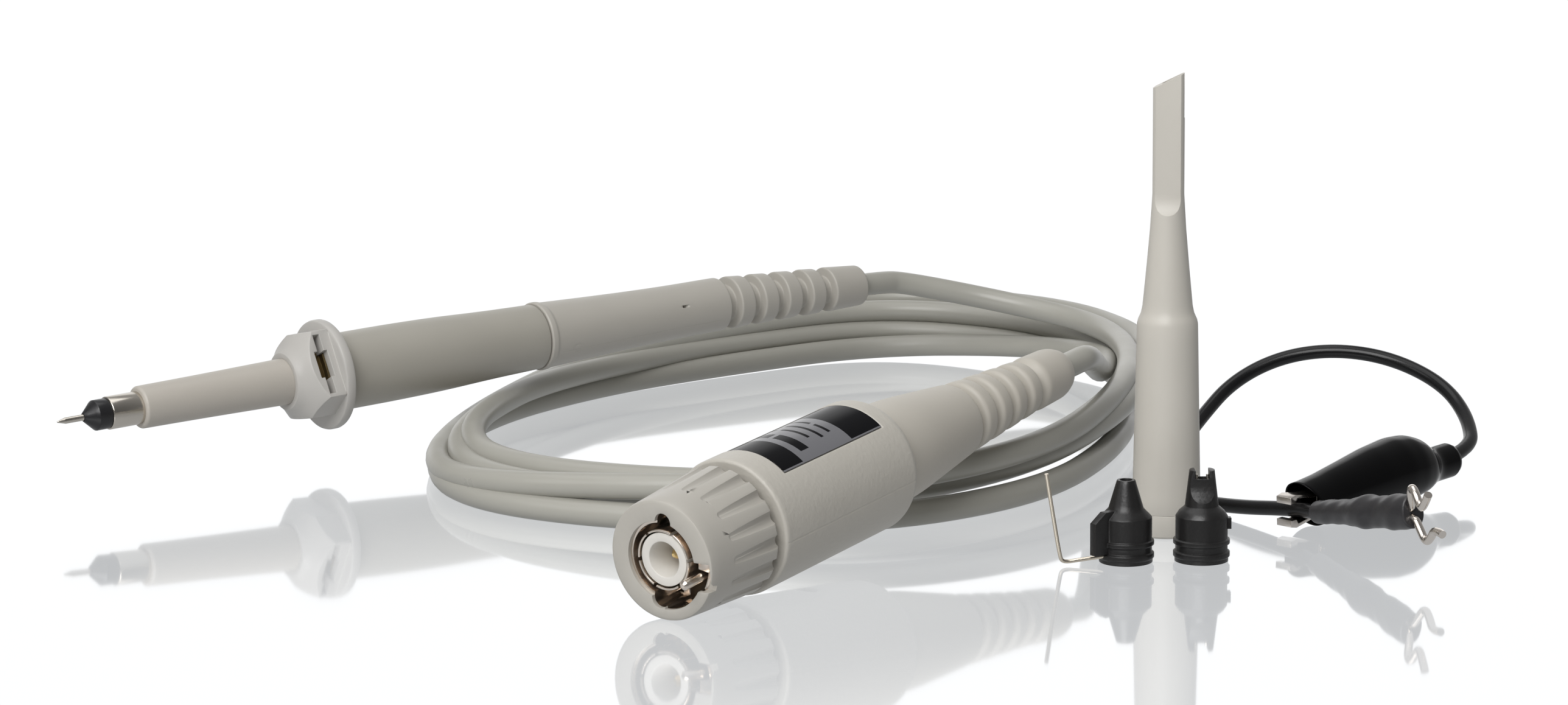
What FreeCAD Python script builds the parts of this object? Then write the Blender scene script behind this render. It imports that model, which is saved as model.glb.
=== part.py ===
import FreeCAD, Part
import math
import os

# All sizes in millimetres, +Z up, floor at z = 0.

# Driving dimensions: cable and probe head
CABLE_D = 3.8            # outside diameter of the coaxial cable
HEAD_TIP = (-83.7, -3.8, 11.55)
HEAD_AZIMUTH = 37.0      # from +X toward +Y
HEAD_RISE = 2.25         # elevation of the head axis
HEAD_L = 150.2           # needle point to end of the strain relief
TIP_BARREL_R = 2.5       # 5 mm bare metal ground barrel at the tip
STEM_R = 2.2             # the barrel's hidden stem inside the shaft
INNER_R = 1.8            # insulation inside the barrel and its stem
COLLAR_R = 8.55          # disc flange of the finger collar
FRONT_BARREL_R = 6.0
REAR_BARREL_R = 5.3
HEAD_BOOT_R = 4.3
BOOT_DROOP = 2.2         # the soft end hangs a little

# Driving dimensions: compensation box and connector
BOX_ORIGIN = (7.61, -83.72, 8.03)
BOX_AZIMUTH = 54.0
BOX_RISE = 6.1
NUT_FACE_R = 8.1
NUT_REAR_R = 8.9
NUT_L = 13.6
BOX_R = 9.35
BOX_FRONT = 14.8
BOX_END = 46.5
CONTACT_R = 4.15         # outer contact of the coaxial plug
NUT_BORE_R = 4.95
RUN_FIT = 0.06           # radial running clearance
NUT_TRACK_R = 6.5        # stud entry lobes and bayonet track
SLEEVE_R = 7.0           # metal sleeve inside the plastic nut
FLUTES = 17
READOUT_R = 0.65
READOUT_AT = 5.5
READOUT_ANGLE = 110.5
BOX_BOOT_R = 7.3

# Driving dimensions: accessories
HOOK_AT = (77.0, -34.2)
HOOK_H = 64.7
HOOK_R = 4.8
HOOK_TURN = -8.0
HOOK_BORE_R = 3.6
CAP_H = 11.3
CAP_R = 3.55
FIN_CAP_AT = (69.8, -51.8)
FORK_CAP_AT = (80.1, -51.6)
CAP_FIT = 0.04
WIRE_D = 2.1             # ground lead

# Cable lay
COIL_C = (26.6, 41.0)
COIL_A = 73.0
COIL_B = 53.7
COIL_TURN = 76.0         # long axis, from +X toward +Y
COIL_BAND = 5.2


def V(x, y, z):
    return FreeCAD.Vector(x, y, z)


def save(shape, name):
    shape.exportStep("parts/" + name + ".step")


def place(shape, origin, azimuth, rise):
    """Local +X becomes the piece's axis, local +Z stays up."""
    out = shape.copy()
    turn = FreeCAD.Rotation(azimuth, -rise, 0)
    out.Placement = FreeCAD.Placement(V(*origin), turn).multiply(out.Placement)
    return out


def head_place(shape):
    return place(shape, HEAD_TIP, HEAD_AZIMUTH, HEAD_RISE)


def box_place(shape):
    return place(shape, BOX_ORIGIN, BOX_AZIMUTH, BOX_RISE)


def lathe_x(points):
    """Solid of revolution about X from a closed outline of (x, radius)."""
    ring = [V(x, 0, r) for x, r in points]
    ring.append(ring[0])
    face = Part.Face(Part.makePolygon(ring))
    return face.revolve(V(0, 0, 0), V(1, 0, 0), 360)


def lathe_z(points):
    """Solid of revolution about Z from a closed outline of (radius, z)."""
    ring = [V(r, 0, z) for r, z in points]
    ring.append(ring[0])
    face = Part.Face(Part.makePolygon(ring))
    return face.revolve(V(0, 0, 0), V(0, 0, 1), 360)


def rod_x(radius, x0, x1, y=0.0, z=0.0):
    return Part.makeCylinder(radius, x1 - x0, V(x0, y, z), V(1, 0, 0))


def block(x0, x1, y0, y1, z0, z1):
    return Part.makeBox(x1 - x0, y1 - y0, z1 - z0, V(x0, y0, z0))


def sector_x(r0, r1, x0, x1, a0, a1):
    """Arc-shaped block about X; angles clockwise from the top seen from the front."""
    ring = lathe_x([(x0, r0), (x1, r0), (x1, r1), (x0, r1)])
    wedge = []
    steps = 6
    for i in range(steps + 1):
        a = math.radians(a0 + (a1 - a0) * i / steps)
        wedge.append(V(x0, -math.sin(a) * r1 * 1.5, math.cos(a) * r1 * 1.5))
    outline = [V(x0, 0, 0)] + wedge + [V(x0, 0, 0)]
    prism = Part.Face(Part.makePolygon(outline)).extrude(V(x1 - x0, 0, 0))
    return ring.common(prism)


def tube(points, radius):
    """Round cord along straight runs joined by tangent arcs."""
    pts = [V(*p) for p in points]
    runs = [(b - a).Length for a, b in zip(pts, pts[1:])]
    edges = []
    start = pts[0]
    for i in range(1, len(pts) - 1):
        into = (pts[i] - pts[i - 1]).normalize()
        out = (pts[i + 1] - pts[i]).normalize()
        cut = 0.45 * min(runs[i - 1], runs[i])
        a = pts[i] - into * cut
        b = pts[i] + out * cut
        half = into.getAngle(out) / 2
        arc_r = cut / math.tan(half)
        middle = pts[i] + (out - into).normalize() * (arc_r / math.cos(half) - arc_r)
        edges.append(Part.LineSegment(start, a).toShape())
        edges.append(Part.Arc(a, middle, b).toShape())
        start = b
    edges.append(Part.LineSegment(start, pts[-1]).toShape())
    path = Part.Wire(edges)
    way = (pts[1] - pts[0]).normalize()
    section = Part.Wire(Part.makeCircle(radius, pts[0], way))
    return path.makePipeShell([section], True, False)


def along_head(t, drop=0.0):
    az = math.radians(HEAD_AZIMUTH)
    rise = math.radians(HEAD_RISE)
    flat = t * math.cos(rise)
    return (HEAD_TIP[0] + flat * math.cos(az), HEAD_TIP[1] + flat * math.sin(az),
            HEAD_TIP[2] + t * math.sin(rise) - drop)


def along_box(s):
    az = math.radians(BOX_AZIMUTH)
    rise = math.radians(BOX_RISE)
    flat = s * math.cos(rise)
    return (BOX_ORIGIN[0] + flat * math.cos(az), BOX_ORIGIN[1] + flat * math.sin(az),
            BOX_ORIGIN[2] + s * math.sin(rise))


# Probe head ---------------------------------------------------------------

def contact_needle():
    return lathe_x([(0, 0), (0, 0.12), (1.3, 0.475), (15, 0.475), (15, 0.9), (17.5, 0.9), (17.5, 0)])


def nose_insulator():
    return lathe_x([(4.2, 0.475), (4.2, 0.65), (6.0, 2.3), (8.1, 2.3), (8.1, INNER_R), (12, INNER_R),
                    (12, 0.475)])


def ground_barrel():
    r = TIP_BARREL_R
    return lathe_x([(8.1, INNER_R), (8.1, r - 0.1), (8.2, r), (13.3, r), (13.3, STEM_R), (44, STEM_R),
                    (44, INNER_R)])


def tip_dielectric():
    return lathe_x([(12, 0.475), (12, INNER_R), (44, INNER_R), (44, 1.1), (17.5, 1.1), (17.5, 0.9), (15, 0.9),
                    (15, 0.475)])


def tip_resistor():
    return lathe_x([(17.5, 0), (17.5, 1.1), (27, 1.1), (27, 0.35), (60, 0.35), (60, 0)])


def tip_shaft():
    r = STEM_R
    body = lathe_x([(13.3, r), (13.3, 2.95), (13.6, 3.23), (21, 3.3), (29, 3.42), (37.7, 3.58),
                    (52, 3.58), (52, r)])
    return body.cut(block(41.6, 43.2, -6, 0, -1.1, 1.1).rotate(V(0, 0, 0), V(1, 0, 0), -27))


def collar_flats():
    """Nut-like block: a wide flat turned 27 degrees up, others around it."""
    cut = []
    for angle, reach in ((0, 6.5), (74, 6.9), (-74, 6.9), (108, 6.1), (-108, 6.1), (180, 6.7)):
        slab = block(37, 44.6, reach, 12, -12, 12)
        slab.rotate(V(0, 0, 0), V(1, 0, 0), angle)
        cut.append(slab)
    return cut


def ground_collar():
    blank = lathe_x([(38.3, 3.58), (38.3, 4.4), (39.2, 5.2), (40.0, 6.2), (40.9, 7.4), (41.8, 8.4),
                     (44.6, 8.4), (44.6, 3.58)])
    for slab in collar_flats():
        blank = blank.cut(slab)
    slot = block(41.85, 42.95, 3.3, 9, -4.75, 4.75).fuse(block(41.25, 43.55, 3.3, 9, -2.1, 2.1))
    blank = blank.cut(slot)
    blank.rotate(V(0, 0, 0), V(1, 0, 0), 180 - 27)
    disc = lathe_x([(44.6, 3.58), (44.6, COLLAR_R - 0.45), (44.75, COLLAR_R - 0.12), (45.1, COLLAR_R),
                    (45.9, COLLAR_R), (46.2, COLLAR_R - 0.12), (46.3, COLLAR_R - 0.4), (46.3, 3.58)])
    return blank.fuse(disc).removeSplitter()


def ground_socket_contact():
    foot = block(41.7, 43.1, 2.0, 3.6, -1.0, 1.0)
    plate = block(41.9, 42.9, 3.58, 4.1, -4.6, 4.6).fuse(block(41.3, 43.5, 3.58, 4.1, -2.0, 2.0))
    spring = block(41.3, 41.6, 4.1, 5.2, -2.0, 2.0).fuse(block(43.2, 43.5, 4.1, 5.2, -2.0, 2.0))
    out = foot.fuse([plate, spring])
    out = out.cut(rod_x(STEM_R, 40, 45))
    out.rotate(V(0, 0, 0), V(1, 0, 0), 180 - 27)
    return out.removeSplitter()


def front_barrel():
    r = FRONT_BARREL_R
    return lathe_x([(46.3, 3.58), (46.3, r), (57, r), (66, r - 0.15), (75.5, r - 0.58), (84.5, r - 0.8),
                    (84.5, 4.2), (90, 4.2), (90, 3.0), (60, 3.0), (56, 3.58)])


def rear_barrel_boot():
    r = REAR_BARREL_R
    g = HEAD_BOOT_R
    body = lathe_x([(84.5, 0), (84.5, r + 0.1), (84.7, r + 0.18), (85.6, r + 0.18), (85.9, r), (94, r - 0.35),
                    (104, r - 0.7), (111, r - 0.85), (120.6, g + 0.1), (120.6, 0)])
    outline = [(118, 0), (118, 3.9), (120.8, 3.9)]
    for i, x in enumerate((122.0, 127.0, 132.0, 137.1, 142.2)):
        rib = g - 0.15 * i
        start = 3.9 if i == 0 else rib
        outline += [(x - 1.1, start), (x - 0.7, g - 1.1), (x + 0.7, g - 1.1), (x + 1.2, rib - 0.1)]
    outline += [(144, g - 0.65), (149.2, g - 0.9), (HEAD_L, g - 1.3), (HEAD_L, 0)]
    boot = lathe_x(outline)
    bore = rod_x(CABLE_D / 2, 119.0, HEAD_L + 1)
    boot.rotate(V(121, 0, 0), V(0, 1, 0), BOOT_DROOP)
    bore.rotate(V(121, 0, 0), V(0, 1, 0), BOOT_DROOP)
    hollow = lathe_x([(84, 0), (84, 4.2), (90, 4.2), (90, 3.1), (112, 3.1), (112, 2.1), (120, 2.1), (120, 0)])
    hole = rod_x(0.45, 0, 3).rotate(V(0, 0, 0), V(0, 0, 1), -90)
    hole.rotate(V(0, 0, 0), V(1, 0, 0), -20)
    hole.translate(V(111.4, -3.2, 1.1))
    return body.fuse(boot).cut(hollow).cut(bore).cut(hole)


def head_crimp_ferrule():
    return lathe_x([(98, 1.2), (98, 3.1), (99, 3.1), (99, 2.85), (106, 2.85), (106, 3.1), (107, 3.1), (107, 1.2)])


def head_cable_core():
    return lathe_x([(60, 0), (60, 0.35), (62, 1.2), (121, 1.2), (121, 0)])


# Compensation box and connector -------------------------------------------

def lobes(x0, x1, reach):
    out = []
    for angle in (8, 188):
        round_end = rod_x(1.25, x0, x1, 0, reach - 1.25)
        throat = block(x0, x1, -1.25, 1.25, 3.5, reach - 1.25)
        one = round_end.fuse(throat)
        one.rotate(V(0, 0, 0), V(1, 0, 0), angle)
        out.append(one)
    return out


def readout_channel():
    return block(-1, 1.4, -7.7, -4.5, -3.4, 0.45)


def bayonet_nut():
    f = NUT_FACE_R
    r = NUT_REAR_R
    body = lathe_x([(0, 5.3), (0, f - 0.5), (0.15, f - 0.12), (0.5, f), (6.5, f + 0.38), (13.2, r),
                    (NUT_L, r - 0.25), (NUT_L, SLEEVE_R), (0.6, SLEEVE_R), (0.6, 5.3)])
    for lobe in lobes(-1, 13.7, NUT_TRACK_R):
        body = body.cut(lobe)
    arc = sector_x(4.5, READOUT_AT + READOUT_R + 0.4, -1, 13.7, 100, 180)
    body = body.cut(arc)
    body = body.cut(readout_channel())
    for i in range(FLUTES):
        groove = Part.makeCylinder(0.95, 16, V(4.9, 0, 9.15), V(1, 0, 0))
        end = Part.makeSphere(0.95, V(4.9, 0, 9.15))
        one = groove.fuse(end)
        one.rotate(V(0, 0, 0), V(1, 0, 0), 7.1 + i * 360.0 / FLUTES)
        body = body.cut(one)
    return body.removeSplitter()


def bayonet_sleeve():
    b = NUT_BORE_R
    body = lathe_x([(0.6, b), (0.6, SLEEVE_R), (13.3, SLEEVE_R), (13.3, 4.0 + RUN_FIT), (12.0, 4.0 + RUN_FIT),
                    (12.0, b)])
    for lobe in lobes(-1, 5.5, NUT_TRACK_R):
        body = body.cut(lobe)
    body = body.cut(sector_x(4.5, READOUT_AT + READOUT_R + 0.4, -1, 14, 100, 180))
    body = body.cut(readout_channel())
    for angle in (-75, 190):
        body = body.cut(sector_x(4.5, 6.2, 5.0, 7.6, angle, angle + 80))
    return body.removeSplitter()


def bayonet_wave_spring():
    return lathe_x([(11.2, 4.05), (11.2, 4.65), (11.45, 4.65), (11.45, 4.05)])


def bnc_body():
    b = NUT_BORE_R - RUN_FIT
    body = lathe_x([(9.6, 3.9), (9.6, CONTACT_R), (9.9, b), (11.2, b), (11.2, 4.0), (15.6, 4.0), (15.6, 7.4),
                    (17.2, 7.4), (17.2, 3.8), (20, 3.8), (20, 1.9), (12, 1.9), (12, 3.9)])
    notch = rod_x(READOUT_R + 0.25, 9, 21, *readout_centre())
    arc = sector_x(4.62, 6, 9, 12, 97, 124)
    seat = rod_x(1.05, 15.6, 17.2, *readout_centre())
    return body.cut(arc).cut(notch).cut(seat)


def readout_centre():
    a = math.radians(READOUT_ANGLE)
    return (-READOUT_AT * math.sin(a), READOUT_AT * math.cos(a))


def bnc_outer_contact():
    body = lathe_x([(0.4, 3.78), (0.4, 4.05), (0.7, CONTACT_R), (9.6, CONTACT_R), (9.6, 3.9), (1.2, 3.9)])
    for i in range(6):
        slit = block(0, 6.5, -0.22, 0.22, 3, 5)
        slit.rotate(V(0, 0, 0), V(1, 0, 0), 25 + 60 * i)
        body = body.cut(slit)
    return body.removeSplitter()


def bnc_dielectric():
    return lathe_x([(0.6, 2.4), (0.6, 3.6), (8.6, 3.6), (8.6, 3.9), (12, 3.9), (12, 1.9), (17, 1.9), (17, 0.675),
                    (6.5, 0.675), (6.5, 1.5)])


def bnc_centre_pin():
    return lathe_x([(2.6, 0), (2.6, 0.25), (3.2, 0.675), (22, 0.675), (22, 0)])


def readout_pin():
    y, z = readout_centre()
    pin = lathe_x([(-2.55, 0), (-2.55, 0.3), (-2.2, READOUT_R), (18.0, READOUT_R), (18.0, 1.0), (18.8, 1.0),
                   (18.8, 0)])
    pin.translate(V(0, y, z))
    return pin


def readout_pin_barrel():
    y, z = readout_centre()
    fit = READOUT_R + 0.04
    sleeve = lathe_x([(13.8, fit), (13.8, 1.05), (17.2, 1.05), (17.2, 1.5), (26, 1.5), (26, 0.4), (25.4, 0.4),
                      (25.4, 1.1), (17.7, 1.1), (17.7, fit)])
    sleeve.translate(V(0, y, z))
    return sleeve.cut(rod_x(4.0, 13, 15.6)).removeSplitter()


def readout_pin_spring():
    y, z = readout_centre()
    turns = []
    x = 20.5
    while x < 25.3:
        ring = Part.makeTorus(0.75, 0.14, V(x, y, z), V(1, 0, 0))
        turns.append(ring)
        x += 0.27
    return turns[0].fuse(turns[1:])


def box_housing():
    r = BOX_R
    body = lathe_x([(BOX_FRONT, 4.4), (BOX_FRONT, r - 0.35), (BOX_FRONT + 0.2, r - 0.08), (BOX_FRONT + 0.6, r),
                    (44.2, r), (45.2, r - 0.3), (46.0, r - 0.9), (BOX_END, r - 1.9), (BOX_END, 6.6),
                    (15.6, 6.6), (15.6, 4.4)])
    seat = lathe_x([(15.6, 6.5), (15.6, 7.4), (17.2, 7.4), (17.2, 6.5)])
    recess = sector_x(r - 0.3, r + 1, 19.4, 42.0, -42, 42)
    y, z = readout_centre()
    barrel_hole = rod_x(1.05, 14, 16, y, z)
    barrel_room = rod_x(1.5, 17.2, 26.5, y, z)
    access = Part.makeCylinder(1.5, 6, V(31, 0, -4.5), V(0, 0, -1))
    ledge = block(19, 40, -7.4, -6.0, -2.2, -1.2).fuse(block(19, 40, 6.0, 7.4, -2.2, -1.2))
    for tool in (seat, recess, barrel_hole, barrel_room, access, ledge):
        body = body.cut(tool)
    return body.removeSplitter()


def box_label():
    return sector_x(BOX_R - 0.3, BOX_R - 0.06, 19.45, 41.95, -41.7, 41.7)


def circuit_board():
    plate = block(20.6, 40, -6.3, 6.3, -2.0, -1.2)
    y, z = readout_centre()
    plate = plate.cut(rod_x(1.5, 17, 26, y, z))
    return plate.cut(Part.makeCylinder(2.0, 4, V(31, 0, -4), V(0, 0, 1)))


def board_components():
    parts = [block(23, 25, 1, 2.4, -1.2, -0.5), block(23, 25, 4, 5.4, -1.2, -0.5),
             block(27, 29, -5, -2.4, -1.2, 0.4), block(34, 36.4, 1, 5, -1.2, 0.2),
             block(36, 38.5, -4.5, -2, -1.2, -0.3)]
    wire = lathe_x([(22, 0), (22, 0.3), (27, 0.3), (27, 0)])
    post = block(26.2, 26.9, -0.35, 0.35, -1.2, 0.1)
    return Part.makeCompound(parts + [wire.fuse(post)])


def trimmer_body():
    cup = lathe_z([(1.5 + 0.03, -4.3), (2.0, -4.3), (2.0, 0.6), (0, 0.6), (0, -0.6), (1.53, -0.6)])
    cup.translate(V(31, 0, 0))
    return cup


def trimmer_rotor():
    screw = lathe_z([(0, -4.5), (1.3, -4.5), (1.5, -4.3), (1.5, -0.9), (0, -0.9)])
    screw = screw.cut(block(-2, 2, -0.2, 0.2, -5, -4.0))
    screw.translate(V(31, 0, 0))
    return screw


def box_boot():
    r = BOX_BOOT_R
    out = [(41.5, 3.2), (41.5, 6.6), (BOX_END, 6.6), (BOX_END, r), (53, r - 0.15), (60, r - 1.1), (67.8, r - 2.1)]
    for i, x in enumerate((69.5, 73.9, 78.3, 82.8, 87.2)):
        rib = 5.25 - 0.3 * i
        out += [(x - 1.2, rib), (x - 0.6, rib - 0.6), (x + 0.6, rib - 0.6), (x + 1.2, rib - 0.1)]
    out += [(89.4, 3.9), (94.6, 3.85), (95.6, 3.3), (96.2, 2.6), (96.2, CABLE_D / 2), (66, CABLE_D / 2),
            (66, 2.9), (50, 2.9), (50, 3.2)]
    return lathe_x(out)


def box_crimp_ferrule():
    return lathe_x([(51, 1.2), (51, 2.9), (52, 2.9), (52, 2.4), (62, 2.4), (62, 2.9), (63, 2.9), (63, 1.2)])


def box_cable_core():
    return lathe_x([(40, 0), (40, 1.2), (70, 1.2), (70, 0)])


# Cable ---------------------------------------------------------------------

def cable_coil():
    """Outer shape of the wound turns; the loose turns rise to the back right."""
    ring = []
    for grow in (COIL_BAND, -COIL_BAND):
        curve = Part.Ellipse(V(0, 0, 0), COIL_A + grow, COIL_B + grow)
        face = Part.Face(Part.Wire(curve.toShape()))
        ring.append(face.extrude(V(0, 0, 14)))
    body = ring[0].cut(ring[1])
    body.rotate(V(0, 0, 0), V(0, 0, 1), COIL_TURN)
    body.translate(V(COIL_C[0], COIL_C[1], 0))
    lid = block(-200, 200, -200, 200, 0, 60)
    lid.rotate(V(0, 0, 0), V(0, 1, 0), -1.75)
    lid.rotate(V(0, 0, 0), V(1, 0, 0), 0.85)
    lid.translate(V(COIL_C[0], COIL_C[1], 9.9))
    return body.cut(lid)


HEAD_STRETCH = (along_head(124.0, 0.115), along_head(HEAD_L + 9.8, 1.5), (63.0, 93.5, 12.6),
                (78.0, 82.0, 10.0), (84.0, 66.0, 8.0))
BOX_STRETCH = (along_box(70.0), along_box(104.5), (71.5, 19.5, 14.4), (74.4, 39.0, 9.8), (77.0, 62.0, 7.5))


# Hook tip ------------------------------------------------------------------

def at_hook(shape):
    out = shape.copy()
    out.rotate(V(0, 0, 0), V(0, 0, 1), HOOK_TURN)
    out.translate(V(HOOK_AT[0], HOOK_AT[1], 0))
    return out


def hook_sleeve():
    b = HOOK_BORE_R
    body = lathe_z([(b, 3.3), (HOOK_R, 3.3), (4.24, 29.8), (4.1, 30.4), (3.7, 31.3), (3.48, 32.4), (2.95, 38),
                    (2.5, 43.2), (2.2, 48), (2.2, HOOK_H + 1), (0.95, HOOK_H + 1), (0.95, 41.2), (1.35, 40.8),
                    (1.35, 28.6), (b, 28.6)])
    flat = block(-4, 4, 1.35, 6, 47.8, 70)
    flat2 = block(-4, 4, -6, -1.35, 47.8, 70)
    scoop = Part.makeCylinder(4, 8, V(-4, -5.35, 47.8), V(1, 0, 0))
    slant = block(-8, 8, -8, 8, 0, 8)
    slant.rotate(V(0, 0, 0), V(0, 1, 0), -26)
    slant.translate(V(0, 0, 63.7))
    slot = block(-0.6, 6, -0.6, 0.6, 58.5, 70)
    for tool in (flat, flat2, scoop, slant, slot):
        body = body.cut(tool)
    return body.removeSplitter()


def hook_sleeve_ring():
    return lathe_z([(HOOK_BORE_R, 0), (HOOK_R - 0.25, 0), (HOOK_R, 0.25), (HOOK_R, 3.3), (HOOK_BORE_R, 3.3)])


def hook_core():
    r = HOOK_BORE_R - RUN_FIT
    bore = TIP_BARREL_R + CAP_FIT
    return lathe_z([(bore, 0.6), (r, 0.6), (r, 14), (1.2, 14), (1.2, 36), (0.42, 36), (0.42, 12), (1.0, 12),
                    (1.0, 8.2), (bore, 6.6)])


def hook_contact():
    return lathe_z([(0.5, 6.9), (1.0, 7.6), (1.0, 12), (0.42, 12), (0.42, 9.4), (0.5, 9.4)])


def hook_wire():
    line = Part.LineSegment(V(0, 0, 12.0), V(0, 0, 61.6)).toShape()
    bend = Part.Arc(V(0, 0, 61.6), V(0.75, 0, 62.35), V(1.5, 0, 61.6)).toShape()
    tail = Part.LineSegment(V(1.5, 0, 61.6), V(1.5, 0, 60.2)).toShape()
    section = Part.Wire(Part.makeCircle(0.4, V(0, 0, 12.0), V(0, 0, 1)))
    return Part.Wire([line, bend, tail]).makePipeShell([section], True, False)


def hook_spring():
    helix = Part.makeHelix(2.2, 14.0, 2.3)
    section = Part.Wire(Part.makeCircle(0.28, V(2.3, 0, 0), V(0, 1, 0)))
    coil = Part.Wire(helix).makePipeShell([section], True, True)
    coil.translate(V(0, 0, 14.3))
    return coil


# Caps ----------------------------------------------------------------------

def cap_shell(top):
    bore = TIP_BARREL_R + CAP_FIT
    r = CAP_R
    low = [(bore, 0), (r + 0.1, 0), (r + 0.1, 0.5), (r + 0.3, 0.7), (r + 0.3, 1.3), (r, 1.5), (r, 2.3),
           (r + 0.3, 2.45), (r + 0.3, 3.0), (r, 3.15), (r, 6.2)]
    return lathe_z(low + top + [(bore, 5.4)])


def finned_cap():
    body = cap_shell([(2.4, 7.4), (1.25, CAP_H), (0.85, CAP_H), (0.85, CAP_H - 1.0), (0.55, CAP_H - 1.3),
                      (0.55, 6.0)])
    fin = [(2.2, 1.5), (5.8, 1.5), (5.8, 5.9), (4.0, 7.3), (2.2, 7.3)]
    outline = [V(x, 0.6, z) for x, z in fin]
    outline.append(outline[0])
    plate = Part.Face(Part.makePolygon(outline)).extrude(V(0, -1.2, 0))
    plate = plate.cut(Part.makeCylinder(TIP_BARREL_R + CAP_FIT, 6, V(0, 0, 0)))
    plate = plate.cut(Part.makeCone(2.54, 0.5, 3, V(0, 0, 5.4)))
    plate.rotate(V(0, 0, 0), V(0, 0, 1), 215)
    out = body.fuse(plate).removeSplitter()
    out.translate(V(FIN_CAP_AT[0], FIN_CAP_AT[1], 0))
    return out


WHISKER = ((67.0, -53.6, 1.15), (61.4, -54.2, 0.5), (58.7, -56.1, 13.1))


def ground_whisker():
    pts = [V(*p) for p in WHISKER]
    edges = [Part.LineSegment(pts[0], pts[1]).toShape(), Part.LineSegment(pts[1], pts[2]).toShape()]
    rods = []
    for edge in edges:
        a, b = edge.Vertexes[0].Point, edge.Vertexes[-1].Point
        rods.append(Part.makeCylinder(0.275, (b - a).Length, a, b - a))
    rods.append(Part.makeSphere(0.275, pts[1]))
    wire = rods[0].fuse(rods[1:])
    clear = Part.makeCylinder(TIP_BARREL_R + 0.3, 6, V(FIN_CAP_AT[0], FIN_CAP_AT[1], 0))
    return wire.cut(clear).removeSplitter()


def forked_cap():
    body = cap_shell([(3.1, 6.9), (2.3, 7.6), (1.72, 12.55), (0.95, 12.55), (0.95, 10.6), (0.55, 10.6),
                      (0.55, 6.0)])
    for side in (1, -1):
        scoop = Part.makeCylinder(4.2, 12, V(-6, side * 5.2, 11.2), V(1, 0, 0))
        scoop = scoop.common(block(-6, 6, -7, 7, 7.0, 14))
        body = body.cut(scoop)
    body = body.cut(block(-0.95, 0.95, -3, 3, 11.4, 13))
    tab = block(3.2, 4.0, -0.6, 0.6, 4.4, 5.9)
    out = body.fuse(tab).removeSplitter()
    out.translate(V(FORK_CAP_AT[0], FORK_CAP_AT[1], 0))
    return out


def forked_cap_pins():
    pins = [Part.makeCylinder(0.2, 1.7, V(x, 0, 10.2)) for x in (-0.75, 0.75)]
    bar = block(-0.95, 0.95, -0.3, 0.3, 10.2, 10.6)
    out = bar.fuse(pins)
    out.translate(V(FORK_CAP_AT[0], FORK_CAP_AT[1], 0))
    return out.removeSplitter()


# Ground lead -----------------------------------------------------------------

CLIP_MOUTH = (96.8, -32.5, 3.34)
CLIP_AZIMUTH = 42.2
CLIP_RISE = 3.2
CLIP_L = 32.3
PIVOT_AT = 5.0


def clip_place(shape):
    return place(shape, CLIP_MOUTH, CLIP_AZIMUTH, CLIP_RISE)


def clip_boot():
    """Bulged soft boot, thickest past the middle, hollow at the mouth."""
    stations = ((0, 3.3, 0.0), (4, 3.55, 0.25), (9, 4.05, 0.75), (14, 4.45, 1.1), (19, 4.5, 1.1),
                (23, 4.05, 0.8), (26.5, 3.05, 0.3), (28.3, 2.6, 0.05))
    rings = []
    for x, r, lift in stations:
        rings.append(Part.Wire(Part.makeCircle(r, V(x, 0, lift), V(1, 0, 0))))
    body = Part.makeLoft(rings, True, False)
    collar = rod_x(2.55, 28.0, CLIP_L, 0, 0.05)
    cave = lathe_x([(-1, 0), (-1, 2.85), (4, 2.95), (12, 3.2), (18, 3.0), (22, 1.5), (22, 0)])
    bore = rod_x(WIRE_D / 2, 21, CLIP_L + 1)
    return body.fuse(collar).cut(cave).cut(bore).removeSplitter()


def jaw(side):
    """Folded metal jaw with a turned-in tip; side +1 above, -1 below."""
    profile = [(-4.7, 1.15), (-4.7, 2.1), (-3.6, 2.35), (0, 1.75), (6.6, 1.75), (6.6, 1.3), (0, 1.3), (-3.2, 1.8),
               (-3.6, 1.15)]
    pts = [V(x, 1.35, side * z) for x, z in profile]
    pts.append(pts[0])
    return Part.Face(Part.makePolygon(pts)).extrude(V(0, -2.7, 0))


def clip_jaw_lower():
    ears = block(4.0, 6.0, -1.75, -1.35, -1.75, 1.1).fuse(block(4.0, 6.0, 1.35, 1.75, -1.75, 1.1))
    barrel = lathe_x([(14, WIRE_D / 2), (14, 1.5), (19, 1.5), (19, WIRE_D / 2)])
    spine = block(6.4, 15.0, -1.35, 1.35, -1.75, -1.3)
    foot = block(14.0, 15.0, -1.0, 1.0, -1.75, -1.2)
    ears = ears.fuse(block(4.0, 6.0, -1.75, 1.75, -1.75, -1.3))
    out = jaw(-1).fuse([ears, barrel, spine, foot])
    out = out.cut(Part.makeCylinder(0.5, 6, V(PIVOT_AT, -3, 0.3), V(0, 1, 0)))
    return out.removeSplitter()


def clip_jaw_upper():
    ears = block(4.0, 6.0, -1.05, -0.75, -0.5, 1.75).fuse(block(4.0, 6.0, 0.75, 1.05, -0.5, 1.75))
    tail = block(6.4, 11.0, -1.2, 1.2, 1.3, 1.75)
    out = jaw(1).fuse([ears, tail])
    out = out.cut(Part.makeCylinder(0.53, 6, V(PIVOT_AT, -3, 0.3), V(0, 1, 0)))
    return out.removeSplitter()


def clip_pivot_pin():
    return Part.makeCylinder(0.5, 3.9, V(PIVOT_AT, -1.95, 0.3), V(0, 1, 0))


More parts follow.
